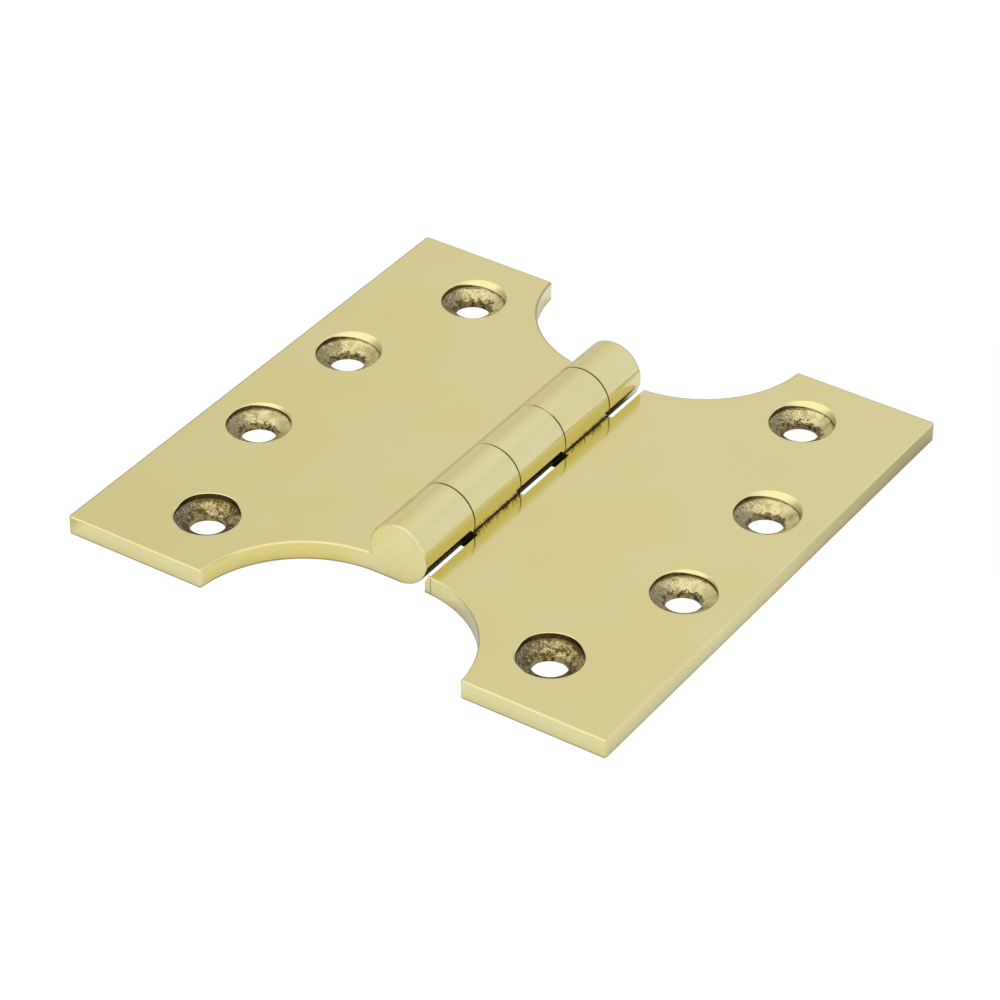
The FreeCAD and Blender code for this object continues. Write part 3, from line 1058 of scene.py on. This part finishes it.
def drilledTarnishAndShade(tree, spot, look):
    rim = times(tree, spread(tree, spot["facing"]["Z"], *look["rimUpright"]),
                spread(tree, spot["fromRim"], *look["rimInside"]))
    black = spread(tree, ramp(tree, spot["atNear"], look["rimNear"], spot["ragged"]), *look["rimRange"])
    hole = spread(tree, spot["fromHole"], *look["holeEdge"])
    holeTone = layered(tree, look["hole"],
                       (spread(tree, spot["ragged"], *look["darkRange"]), crustLook["tone"]),
                       (spread(tree, spot["patches"], *look["filmRange"]), filmLook["tone"]))
    return (rim, mixColour(tree, black, look["rim"], crustLook["tone"])), (hole, holeTone)


def seatTarnish(name, look):
    material, tree = newMaterial(name)
    spot = seatSpot(tree, look)
    film, filmTone = brownFilm(tree, spot, filmLook)
    dark = darkCrusts(tree, spot, crustLook)
    colour = layered(
        tree, coneColour(tree, spot, look),
        (times(tree, film, filmLook["share"]), filmTone),
        (rustBlotches(tree, spot, rustLook), rustLook["tone"]),
        (dark, crustLook["tone"]),
        *drilledTarnishAndShade(tree, spot, drillLook))
    rough = spread(tree, largest(tree, film, dark), 0.0, 1.0, *look["roughness"])
    bump = addNode(tree, "ShaderNodeBump", {"Height": spot["fine"], "Distance": look["speckDepth"]})
    metalShader(tree, colour, rough, bump.outputs[0])
    return material


# sawn and milled faces that polish never reached: slots, knuckle ends and bores; their dark tone is partly painted
# shade for the shadowed insides
slotTarnishAndShadeLook = {
    "brass": (0.34, 0.245, 0.095),
    "dark": (0.130, 0.090, 0.034),
    "darkRange": (0.35, 0.60),
    "roughness": (0.40, 0.65),
    "roughRange": (0.3, 0.7),
    "blotchSize": 1.1 * mm,
    "sawPitch": 0.16 * mm,
    "sawLength": 12,
    "sawDepth": 0.008 * mm,
}


def slotTarnishAndShade(name, look):
    material, tree = newMaterial(name)
    place = surfaceSpot(tree)["place"]
    blotch = noise(tree, place, look["blotchSize"], detail=4.0)
    saw = noise(tree, place, look["sawPitch"], stretch=(1, 1, look["sawLength"]), detail=1.0)
    colour = mixColour(tree, spread(tree, blotch, *look["darkRange"]), look["brass"], look["dark"])
    rough = spread(tree, blotch, *look["roughRange"], *look["roughness"])
    bump = addNode(tree, "ShaderNodeBump", {"Height": saw, "Distance": look["sawDepth"]})
    metalShader(tree, colour, rough, bump.outputs[0])
    return material


# drawn steel of the pin
pinLook = {
    "base": (0.52, 0.52, 0.53),
    "shade": (0.39, 0.39, 0.3975),
    "roughness": (0.28, 0.42),
    "linePitch": 0.09 * mm,
    "lineLength": 80,
    "lineRange": (0.3, 0.7),
    "lineDepth": 0.002 * mm,
}


def pinSteel(name, look):
    material, tree = newMaterial(name)
    place = surfaceSpot(tree)["place"]
    lines = noise(tree, place, look["linePitch"], stretch=(1, look["lineLength"], 1))
    colour = mixColour(tree, spread(tree, lines, *look["lineRange"]), look["base"], look["shade"])
    rough = spread(tree, lines, *look["lineRange"], *look["roughness"])
    bump = addNode(tree, "ShaderNodeBump", {"Height": lines, "Distance": look["lineDepth"]})
    metalShader(tree, colour, rough, bump.outputs[0])
    return material


leftBrass = brassFinish("leftBrass", -1)
rightBrass = brassFinish("rightBrass", 1)
seatMaterial = seatTarnish("seatTarnish", seatLook)
slotMaterial = slotTarnishAndShade("slotTarnishAndShade", slotTarnishAndShadeLook)
steel = pinSteel("pinSteel", pinLook)
print("finishes mixed")

seats = seatRow(seatForm, seatMaterial)
leftLeaf = buildLeaf("leftLeaf", -1, (1, 3, 5), pinRadius, seats, leftBrass, slotMaterial)
rightLeaf = buildLeaf("rightLeaf", 1, (2, 4), pinRadius + barrelForm["boreClearance"], seats,
                      rightBrass, slotMaterial)
bpy.data.objects.remove(seats[1]["Stamp"])
for leaf, node in ((leftLeaf, "left_leaf"), (rightLeaf, "right_leaf")):
    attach(leaf, node)
    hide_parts(node)
for node, finish in (("hinge_pin", steel), ("near_end_plug", leftBrass), ("far_end_plug", leftBrass)):
    materials = frame["nodes"][node].data.materials
    materials.clear()
    materials.append(finish)
print("leaves and pin dressed")


# pale studio walls, which only the metal mirrors
wallsLook = {
    "rightAxis": (0.837, 0.548, 0.0),
    "backAxis": (-0.538, 0.843, 0.0),
    "left": (0.745, 0.742, 0.900),
    "ahead": (0.847, 0.847, 1.100),
    "aheadFrom": (-0.18, 0.03),  # along the axis to the right
    "right": (0.880, 0.920, 1.430),
    "rightFrom": (-0.05, 0.45),
    "shade": (0.66, 0.66, 0.82),  # the dim end of the room
    "shadeWay": (0.0, 0.964, 0.266),
    "shadeAngles": (9, 24),  # degrees off its middle: full and gone
    "front": (1.12, 1.15, 1.60),
    "frontFrom": (0.05, -0.35),
    "above": (0.950, 0.970, 1.380),
    "aboveFrom": (0.60, 0.95),
    "softbox": (1.27, 1.27, 1.68),
    "softboxWay": (-0.200, -0.100, 0.970),
    "softboxAngles": (14, 48),
    "flag": (0.10, 0.09, 0.07),  # a dark screen low on the right
    "flagWay": (0.861, 0.231, 0.454),
    "flagAngles": (6, 14),
}


def towards(tree, way, direction, inner, outer):
    # 1 within inner degrees of a direction, 0 past outer
    return spread(tree, dot(tree, way, direction), math.cos(math.radians(outer)),
                  math.cos(math.radians(inner)))


def studioWalls(look):
    world = bpy.data.worlds.new("studioWalls")
    world.use_nodes = True
    tree = world.node_tree
    tree.nodes.clear()
    way = addNode(tree, "ShaderNodeTexCoord").outputs["Generated"]
    toRight, toBack = [dot(tree, way, look[axis]) for axis in ("rightAxis", "backAxis")]
    height = splitVector(tree, way)["Z"]
    patches = {name: (towards(tree, way, look[name + "Way"], *look[name + "Angles"]), look[name])
               for name in ("shade", "softbox", "flag")}
    colour = layered(
        tree, look["left"],
        (spread(tree, toRight, *look["aheadFrom"]), look["ahead"]),
        (spread(tree, toRight, *look["rightFrom"]), look["right"]),
        patches["shade"],
        (spread(tree, toBack, *look["frontFrom"]), look["front"]),
        (spread(tree, height, *look["aboveFrom"]), look["above"]),
        patches["softbox"],
        patches["flag"])
    light = addNode(tree, "ShaderNodeBackground", {"Color": colour, "Strength": 1.0})
    addNode(tree, "ShaderNodeOutputWorld", {"Surface": light.outputs[0]})
    bpy.context.scene.world = world


# the floor: white paper to the camera; to the metal it has painted shadow beside, behind and left of the hinge and
# down in the slots, painted brass bounce in the notches, and a faint painted bluish glow
floorLook = {
    "size": 3.0,
    "drop": 0.02 * mm,
    "paper": (0.93, 0.94, 0.97),
    "skyGlow": (0.0, 0.03, 0.13, 1.0),
    "left": (0.68, 0.66, 0.50),
    "leftFrom": (1 * mm, -2 * mm),  # off the leaf's reach, as the next two
    "beside": (0.89, 0.87, 0.76),  # dimmer past the right edge and behind
    "besideFrom": (-2 * mm, 1 * mm),
    "closeBy": (45 * mm, 12 * mm),
    "behind": (0.56, 0.52, 0.38),
    "behindFrom": -0.3,  # share of the leaf's end
    "behindAcross": (24 * mm, 32 * mm),
    "leftNotch": (0.92, 0.86, 0.60),  # brass light thrown into the notches
    "rightNotch": (0.74, 0.73, 0.72),
    "notchMiddle": 17 * mm,
    "notchWidth": (10 * mm, 5 * mm),
    "notchFrom": (2 * mm, -4 * mm),  # off the leaf's end
    "gap": (0.42, 0.34, 0.21),  # down in the slots, out of the light
    "gapWidth": (9 * mm, 6.5 * mm),
    "gapLength": (33 * mm, 30 * mm),
    "shadowShare": 0.05,
    "white": (1.0, 1.0, 1.0, 1.0),
    "whiteness": 1.03,
}


def floorShadeAndBounce(tree, look):
    # what the paper is like to the metal, with its painted shadow and painted bounce light, and where its painted
    # glow is left out
    coordinates = addNode(tree, "ShaderNodeTexCoord").outputs["Object"]
    x, y = [splitVector(tree, coordinates)[axis] for axis in ("X", "Y")]
    farX, farY = size(tree, x), size(tree, y)
    inGaps = times(tree, spread(tree, farX, *look["gapWidth"]), spread(tree, farY, *look["gapLength"]))
    closeBy = times(tree, *[spread(tree, value, *[leafReach + step for step in look["closeBy"]])
                            for value in (x, y)])
    beside = spread(tree, x, *[leafReach + step for step in look["besideFrom"]])
    behind = times(tree, spread(tree, y, look["behindFrom"] * leafEnd, leafEnd),
                   spread(tree, farX, *look["behindAcross"]))
    fromNotch = size(tree, minus(tree, farX, look["notchMiddle"]))
    backRight = times(tree, isOver(tree, x, 0.0), isOver(tree, y, 0.0))
    inNotch = times(tree, spread(tree, fromNotch, *look["notchWidth"]),
                    spread(tree, farY, *[leafEnd + step for step in look["notchFrom"]]),
                    minus(tree, 1.0, backRight))
    notchTone = mixColour(tree, isOver(tree, x, 0.0), look["leftNotch"], look["rightNotch"])
    farLeft = spread(tree, x, *[step - leafReach for step in look["leftFrom"]])
    # painted shadow past the left reach, beside and behind the hinge and in the slots; painted brass bounce in the
    # notches
    tone = layered(
        tree, look["paper"],
        (farLeft, look["left"]),
        (times(tree, beside, closeBy), look["beside"]),
        (times(tree, behind, closeBy), look["behind"]),
        (inNotch, notchTone),
        (inGaps, look["gap"]))
    return tone, largest(tree, inGaps, farLeft)


def studioFloor(look):
    material, tree = newMaterial("studioPaper")
    tone, dimmed = floorShadeAndBounce(tree, look)
    matt = addNode(tree, "ShaderNodeBsdfDiffuse", {"Color": tone}).outputs[0]
    glow = addNode(tree, "ShaderNodeEmission", {
        "Color": look["skyGlow"], "Strength": minus(tree, 1.0, dimmed)}).outputs[0]
    paper = addNode(tree, "ShaderNodeAddShader", {0: matt, 1: glow}).outputs[0]
    white = addNode(tree, "ShaderNodeEmission", {
        "Color": look["white"], "Strength": look["whiteness"]}).outputs[0]
    seen = addNode(tree, "ShaderNodeMixShader", {
        0: look["shadowShare"], 1: white, 2: paper}).outputs[0]
    direct = addNode(tree, "ShaderNodeLightPath").outputs["Is Camera Ray"]
    both = addNode(tree, "ShaderNodeMixShader", {0: direct, 1: paper, 2: seen}).outputs[0]
    addNode(tree, "ShaderNodeOutputMaterial", {"Surface": both})
    half, drop = look["size"] / 2, -look["drop"]
    corners = [(-half, -half, drop), (half, -half, drop), (half, half, drop), (-half, half, drop)]
    mesh = bpy.data.meshes.new("studioFloor")
    mesh.from_pydata(corners, [], [(0, 1, 2, 3)])
    meshObject("studioFloor", mesh, [material])


# the camera of the photo
cameraForm = {
    "place": (0.311211, -0.480827, 0.408311),
    "turn": (54.327, -0.888, 33.208),  # degrees about X, Y and Z
    "lens": 155.44,
    "sensor": 36,
    "shift": -0.02972,
    "nearest": 0.01,
    "furthest": 10,
}


def placeCamera(form):
    data = bpy.data.cameras.new("studioCamera")
    data.lens = form["lens"]
    data.sensor_width = form["sensor"]
    data.shift_x = form["shift"]
    data.clip_start = form["nearest"]
    data.clip_end = form["furthest"]
    obj = bpy.data.objects.new("studioCamera", data)
    obj.location = form["place"]
    obj.rotation_euler = [math.radians(angle) for angle in form["turn"]]
    bpy.context.scene.collection.objects.link(obj)
    bpy.context.scene.camera = obj


studioWalls(wallsLook)
studioFloor(floorLook)
placeCamera(cameraForm)
bpy.context.scene.view_settings.view_transform = "Standard"
print("studio lit")
